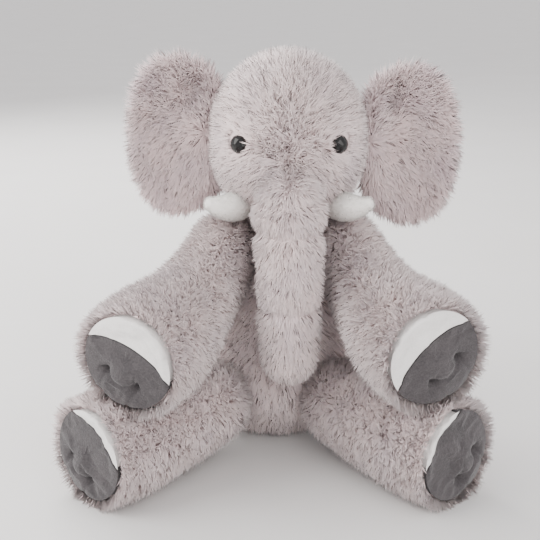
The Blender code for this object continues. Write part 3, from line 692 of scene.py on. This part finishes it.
def head_rings(rows=46, sides=60):
    """The head as a ball whose radius swells or sinks in some directions.

    Each swelling is its height times the exponential of a sharpness times (the cosine of the angle to its
    middle, less one).
    """
    polar = np.linspace(math.pi * 0.985, math.pi * 0.015, rows)[:, None]
    turn = np.linspace(0.0, 2.0 * math.pi, sides, endpoint=False)[None]
    upward = np.cos(polar) * np.ones_like(turn)
    toward = np.stack([np.sin(polar) * np.cos(turn), np.sin(polar) * np.sin(turn), upward], -1)
    swell = np.ones(toward.shape[:2])
    for x, y, z, height, sharp in (
        (0.66, -0.58, -0.46, 0.075, 5.0), (-0.66, -0.58, -0.46, 0.075, 5.0),
        (0.0, -0.86, -0.50, 0.14, 9.0), (0.0, -0.55, 0.84, 0.035, 5.0),
        (0.50, -0.86, 0.06, -0.020, 26.0), (-0.50, -0.86, 0.06, -0.020, 26.0),
        (0.0, -0.98, 0.02, -0.030, 30.0), (0.0, 0.5, -0.87, -0.06, 3.0),
    ):
        middle = unit(np.array([x, y, z]))
        swell = swell + height * np.exp(sharp * (toward @ middle - 1.0))
    size = head_half[0] * np.array([HEAD_WIDE, 1.0, HEAD_TALL])
    rings = head_centre + toward * swell[..., None] * size
    poles = head_centre + np.array([[0.0, 0.0, -1.0], [0.0, 0.0, 1.0]]) * size[2]
    return rings, poles


head_skin, head_points, head_triangles = skin_of("head_backing", *head_rings(), BACKING)
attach(head_skin, "head")
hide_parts("head_skin", "head_stuffing")

eyes = {side: sum(np.array(corner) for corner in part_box("eye_" + side)) / 2.0 for side in SIDES}
front_of_eye = {side: np.array(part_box("eye_" + side)[0]) * [0, 1, 0] + eyes[side] * [1, 0, 1] for side in SIDES}


OPENING_OUT = 0.0038     # from an eye's middle to the middle of its opening, away from the trunk
OPENING_UP = 0.001
OPENING_WIDE = 0.0056
OPENING_TALL = 0.0095


def clear_of_eyes(places):
    """True off each eye: an opening a little to its outer side, so that fur hides its inner side."""
    free = np.ones(len(places), bool)
    for side, sign in SIDES.items():
        off = places - front_of_eye[side]
        across, up = off[:, 0] - OPENING_OUT * sign, off[:, 2] - OPENING_UP
        free &= across**2 / OPENING_WIDE**2 + up**2 / OPENING_TALL**2 > 1.0
    return free | (places[:, 1] > head_centre[1])


NECK_CORE = 0.020
NECK_TOP = 0.27


def under_head(places):
    """True where the head rests on the neck."""
    return (np.hypot(places[:, 0] - neck[0], places[:, 1] - neck[1]) < NECK_CORE) & (places[:, 2] < NECK_TOP)


places, normals = seeded(head_points, head_triangles, DENSITY, 81, lambda p: clear_of_eyes(p) & ~under_head(p))
from_face = unit(places - np.array([trunk_root[0], head_low[1] - 0.01, trunk_root[2] + 0.045]))
combing = 0.6 * from_face + np.array([0.0, 0.1, -0.25])
HEAD_PILE = 0.0150
length = np.full(len(places), HEAD_PILE)
for side, sign in SIDES.items():
    off = places - front_of_eye[side]
    near = np.exp(-((np.linalg.norm(off[:, [0, 2]], axis=1) / 0.019) ** 2)) * (places[:, 1] < head_centre[1])
    inner = 1.0 / (1.0 + np.exp(off[:, 0] * sign / 0.002))
    length -= (0.0085 - 0.0040 * inner) * near
    combing += 1.6 * near[:, None] * unit(off + np.array([0.012 * sign, 0.0, 0.0]))
head_furs = coat("head_fur", places, normals, combing, LILAC_PILE, length=length, seed=90)
for obj in head_furs:
    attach(obj, "head")

NECK_RADIUS = 0.031
neck_spine = [neck + np.array([0.0, 0.0, lift]) for lift in (-0.020, -0.007, 0.007, 0.020)]
rings, poles = tube(neck_spine, [(NECK_RADIUS, NECK_RADIUS)] * 4, SIDEWAYS, 0.01, 0.01, sides=32, rows=10)
neck_skin, neck_points, neck_triangles = skin_of("neck_backing", rings, poles, BACKING)
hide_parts("neck_skin", "neck_stuffing")
places, normals = seeded(neck_points, neck_triangles, DENSITY, 95)
for obj in (neck_skin, *coat("neck_fur", places, normals, np.array([[0.0, 0.0, -0.4]]), LILAC_PILE, seed=96)):
    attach(obj, "neck")


# ---- Eyes -------------------------------------------------------------------------------------------------
# Black bead eyes: a moulded dome on a stem, polished, with the faint scratches that a toy picks up, held by a
# plain washer inside the head.

BEAD, shade, shader = finish("polished_black_bead", Specular_IOR_Level=0.25, Coat_Roughness=0.03)
place = shade.node("ShaderNodeTexCoord", {}, "Object")
scuffs = shade.node("ShaderNodeTexNoise", {}, "Fac", Vector=place, Scale=320.0, Detail=5.0)
black = scuffs.blended((0.0025, 0.0025, 0.003), (0.006, 0.0055, 0.0055))
shade.tree.links.new(black.socket, shader.inputs["Base Color"])
shade.tree.links.new((scuffs * 0.12 + 0.10).socket, shader.inputs["Roughness"])
shade.tree.links.new((scuffs * 0.15 + 0.20).socket, shader.inputs["Coat Weight"])
MOULDED, shade, shader = finish("moulded_washer", Roughness=0.5)
place = shade.node("ShaderNodeTexCoord", {}, "Object")
cloud = shade.node("ShaderNodeTexNoise", {}, "Fac", Vector=place, Scale=260.0, Detail=3.0)
milky = cloud.blended((0.66, 0.66, 0.63), (0.78, 0.78, 0.75))
shade.tree.links.new(milky.socket, shader.inputs["Base Color"])
for side in SIDES:
    for name, finish_used in (("eye_", BEAD), ("eye_washer_", MOULDED)):
        node = frame["nodes"][name + side]
        node.data.materials.clear()
        node.data.materials.append(finish_used)


# ---- Tusks ------------------------------------------------------------------------------------------------
# Two fat curved horns of cream cloth with a fine short nap, filled hard. Each leaves the cheek beside the
# trunk, dips, and turns up a little at its rounded tip.

CREAM_PILE = pile_finish("cream_short_pile", (0.94, 0.890, 0.830), (0.98, 0.945, 0.895), (1.0, 0.980, 0.945),
                         (0.96, 0.96, 0.97), (1.03, 1.02, 1.0))
CREAM_BACKING = cloth_finish("cream_backing", (0.92, 0.89, 0.85), (0.97, 0.95, 0.92))
TUSK_HANG = 0.007
TUSK_FORWARD = 0.006
TUSK_DENSITY = 1100000.0
for number, (side, sign) in enumerate(SIDES.items()):
    low, high = (np.array(corner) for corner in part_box("tusk_skin_" + side))
    middle = (low + high) / 2.0 - np.array([0.0, TUSK_FORWARD, TUSK_HANG])
    half = (high - low) / 2.0
    spine = [
        middle + half * np.array([-0.85 * sign, 0.75, -0.32]),
        middle + half * np.array([-0.50 * sign, 0.15, -0.31]),
        middle + half * np.array([-0.15 * sign, -0.28, -0.22]),
        middle + half * np.array([0.22 * sign, -0.52, -0.07]),
        middle + half * np.array([0.54 * sign, -0.64, 0.12]),
    ]
    widths = [(share, share) for share in (0.0128, 0.0132, 0.0118, 0.0093, 0.0062)]
    rings, poles = tube(spine, widths, np.array([0.0, 0.0, 1.0]), 0.008, 0.0060, sides=36, rows=34)
    skin, points, triangles = skin_of(f"tusk_backing_{side}", rings, poles, CREAM_BACKING)
    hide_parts(f"tusk_skin_{side}", f"tusk_stuffing_{side}")
    places, normals = seeded(points, triangles, TUSK_DENSITY, 100 + number)
    outward = unit(np.array([[sign, -0.3, 0.1]]))
    furs = coat(f"tusk_fur_{side}", places, normals, outward, CREAM_PILE, length=0.0026, width=0.00012,
                lift=0.8, lay=0.6, clump=0.15, seed=110 + 4 * number)
    for obj in (skin, *furs):
        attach(obj, "head")


# ---- Trunk ------------------------------------------------------------------------------------------------
# One long sleeve of plush, sewn to the face and hanging in front of the belly. Its filling breaks into soft
# rolls, so that a few shallow creases run across it.

low, high = (np.array(corner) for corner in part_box("trunk_lower_skin"))
TRUNK_TIP = 0.027        # from the trunk's last solid in to the end of its spine, back and up
CREASE_WIDTH = 0.0045
CREASE_NIP = 0.11        # the share of its radius that the trunk loses at a crease
TRUNK_PILE = 0.0135
trunk_end = np.array([(low[0] + high[0]) / 2.0, low[1] + TRUNK_TIP, low[2] + TRUNK_TIP])
root_inside = trunk_root + np.array([0.0, 0.030, 0.016])


def trunk_part(name, spine, widths, creases, start_cap, end_cap, seed, keep, **combed):
    """A length of trunk and its coat; each crease narrows its rings by a bell curve of the height."""
    rings, poles = tube(spine, [(width, width * 0.96) for width in widths], SIDEWAYS, start_cap, end_cap,
                        sides=36, rows=34)
    for height in creases:
        spot = np.exp(-(((rings[..., 2] - height) / CREASE_WIDTH) ** 2))[..., None]
        middle = rings.mean(axis=1, keepdims=True)
        rings = rings + (middle - rings) * CREASE_NIP * spot
    skin, points, triangles = skin_of(name + "_backing", rings, poles, BACKING)
    places, normals = seeded(points, triangles, DENSITY * 1.08, seed, keep)
    length = np.full(len(places), TRUNK_PILE)
    for height in creases:
        length -= 0.0032 * np.exp(-(((places[:, 2] - height - 0.004) / 0.0050) ** 2))
    furs = coat(name + "_fur", places, normals, np.array([[0.0, -0.1, -1.0]]), LILAC_PILE, length=length,
                seed=seed + 1, **combed)
    return skin, furs


fall = trunk_end - trunk_bend
split = trunk_bend[2]
upper_skin, upper_furs = trunk_part(
    "trunk_upper", [root_inside, trunk_root + [0, 0.006, 0.002], (trunk_root + trunk_bend) / 2.0, trunk_bend],
    (0.0265, 0.0275, 0.0240, 0.0224), (trunk_root[2] + 0.010, trunk_root[2] - 0.016), 0.018, 0.018, 120,
    lambda p: (p[:, 2] > split - 0.004) & (p[:, 1] < head_low[1] + 0.030), lay=0.85, lift=0.70,
)
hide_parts("trunk_upper_skin", "trunk_upper_stuffing")
for obj in (upper_skin, *upper_furs):
    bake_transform(obj)
lower_skin, lower_furs = trunk_part(
    "trunk_lower", [trunk_bend + [0, 0, 0.006], trunk_bend + 0.45 * fall, trunk_bend + 0.85 * fall, trunk_end],
    (0.0224, 0.0210, 0.0196, 0.0182), (split - 0.016,), 0.018, 0.016, 130,
    lambda p: p[:, 2] <= split + 0.002, lay=0.80, lift=0.72,
)
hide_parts("trunk_lower_skin", "trunk_lower_stuffing")
for obj in (lower_skin, *lower_furs):
    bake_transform(obj)


# ---- Ears -------------------------------------------------------------------------------------------------
# Big round paddles, each two rounds of plush sewn face to face with a thin wad between them. They stand out
# from the sides of the head, dished a little towards the front, and the pile hides the seam at the rim.

EAR_INSET = {"left": -0.0125, "right": 0.0015}    # taken from x, which moves each ear in towards the head
EAR_SPREAD = 0.001       # the ears' pile is a little shallower
EAR_HALF_THICKNESS = 0.0050
EAR_BROADENING = 0.0045
EAR_DISH = 0.010
EAR_FOLD = 0.010
EAR_TURN = 0.004         # how far the outer edge stands in front of the middle
EAR_PILE = pile_finish("ear_pile", (0.74, 0.600, 0.600), (0.84, 0.685, 0.682), (0.97, 0.835, 0.828),
                       (0.90, 0.89, 0.93), (1.06, 1.03, 1.03))
EAR_BACKING = cloth_finish("ear_backing", (0.66, 0.540, 0.540), (0.78, 0.640, 0.640))


def ear_rings(middle, half, sign, rows=30, sides=64):
    """A dished paddle: rings from its back to its front, each a round outline a little squared.

    A ring's share of the size is the sine of an angle, raised to fill the rim, and its depth the cosine. The
    outline is squarer towards the head, where the ear is sewn along most of its height. The dish moves a point
    back by one less the square of its distance from the middle, and a soft fold does the same near the top of
    the inner edge.
    """
    angle = np.linspace(math.pi * 0.985, math.pi * 0.015, rows)[:, None]
    turn = np.linspace(0.0, 2.0 * math.pi, sides, endpoint=False)[None]
    share = np.sin(angle) ** 0.75
    power = 2.3 + 2.6 * np.clip(-np.cos(turn) * sign, 0.0, 1.0)
    squared = 1.0 / (np.abs(np.cos(turn)) ** power + np.abs(np.sin(turn)) ** power) ** (1.0 / power)
    x = share * squared * np.cos(turn) * (1.0 + 0.13 * np.clip(-np.cos(turn) * sign, 0.0, 1.0))
    z = share * squared * np.sin(turn)
    fold = np.exp(-(((x * sign + 0.55) / 0.28) ** 2 + ((z - 0.55) / 0.25) ** 2))
    dish = EAR_DISH * (1.0 - np.minimum(x**2 + z**2, 1.0)) + EAR_FOLD * fold - EAR_TURN * x * sign
    depth = -np.cos(angle) * half[1] * np.ones_like(x)
    pinch = 1.0 - 0.10 * np.exp(-((x * sign + 1.0) / 0.5) ** 2)
    upward = middle[2] + half[2] * z * pinch
    rings = np.stack([middle[0] + half[0] * x, middle[1] - depth + dish, upward], axis=-1)
    poles = np.stack([middle + [0.0, EAR_DISH - half[1], 0.0], middle + [0.0, half[1] + EAR_DISH, 0.0]])
    return rings[:, ::-1], poles


for number, (side, sign) in enumerate(SIDES.items()):
    low, high = (np.array(corner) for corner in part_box("ear_front_" + side))
    back_low, back_high = (np.array(corner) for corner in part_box("ear_back_" + side))
    low, high = np.minimum(low, back_low), np.maximum(high, back_high)
    middle = (low + high) / 2.0
    half = (high - low) / 2.0 - FUR_DEPTH + EAR_SPREAD
    half[1] = EAR_HALF_THICKNESS
    middle[0] -= EAR_INSET[side]
    half[0] += EAR_BROADENING
    rings, poles = ear_rings(middle, half, sign)
    skin, points, triangles = skin_of(f"ear_backing_{side}", rings, poles, EAR_BACKING)
    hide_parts(f"ear_front_{side}", f"ear_back_{side}", f"ear_padding_{side}")
    places, normals = seeded(points, triangles, DENSITY * 0.95, 140 + number)
    hinge = joint_at["ear_flap_" + side]
    outward = unit((places - hinge) * [1.0, 0.0, 1.0]) + np.array([0.0, 0.0, -0.35])
    furs = coat(f"ear_fur_{side}", places, normals, outward, EAR_PILE, length=0.0140, lift=0.72, lay=0.60,
                seed=150 + 5 * number)
    for obj in (skin, *furs):
        "ear_" + side
        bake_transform(obj)


# ---- Tail -------------------------------------------------------------------------------------------------
# A thin plush tail on the back of the seat, with a fuller tuft at its end.

low, high = (np.array(corner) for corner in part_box("tail_skin"))
TAIL_TIP = 0.011         # from the tail's solid in to the end of its spine, forward and up
TAIL_DENSITY = 900000.0
tail_root = joint_at["tail_sway"]
tail_end = np.array([tail_root[0], high[1] - TAIL_TIP, low[2] + TAIL_TIP])
steps = [tail_root + share * (tail_end - tail_root) for share in (-0.15, 0.25, 0.6, 1.0)]
rings, poles = tube(steps, [(width, width) for width in (0.0042, 0.0045, 0.0055, 0.0075)], SIDEWAYS,
                    0.004, 0.005, sides=20, rows=18)
skin, points, triangles = skin_of("tail_backing", rings, poles, BACKING)
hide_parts("tail_skin", "tail_stuffing")
places, normals = seeded(points, triangles, TAIL_DENSITY, 170)
share = np.linalg.norm(places - tail_root, axis=1) / np.linalg.norm(tail_end - tail_root)
furs = coat("tail_fur", places, normals, unit(tail_end - tail_root)[None], LILAC_PILE, lift=0.60, lay=0.75,
            length=0.0065 + 0.0055 * np.clip(share, 0.0, 1.0) ** 3, seed=171)
for obj in (skin, *furs):
    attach(obj, "tail")
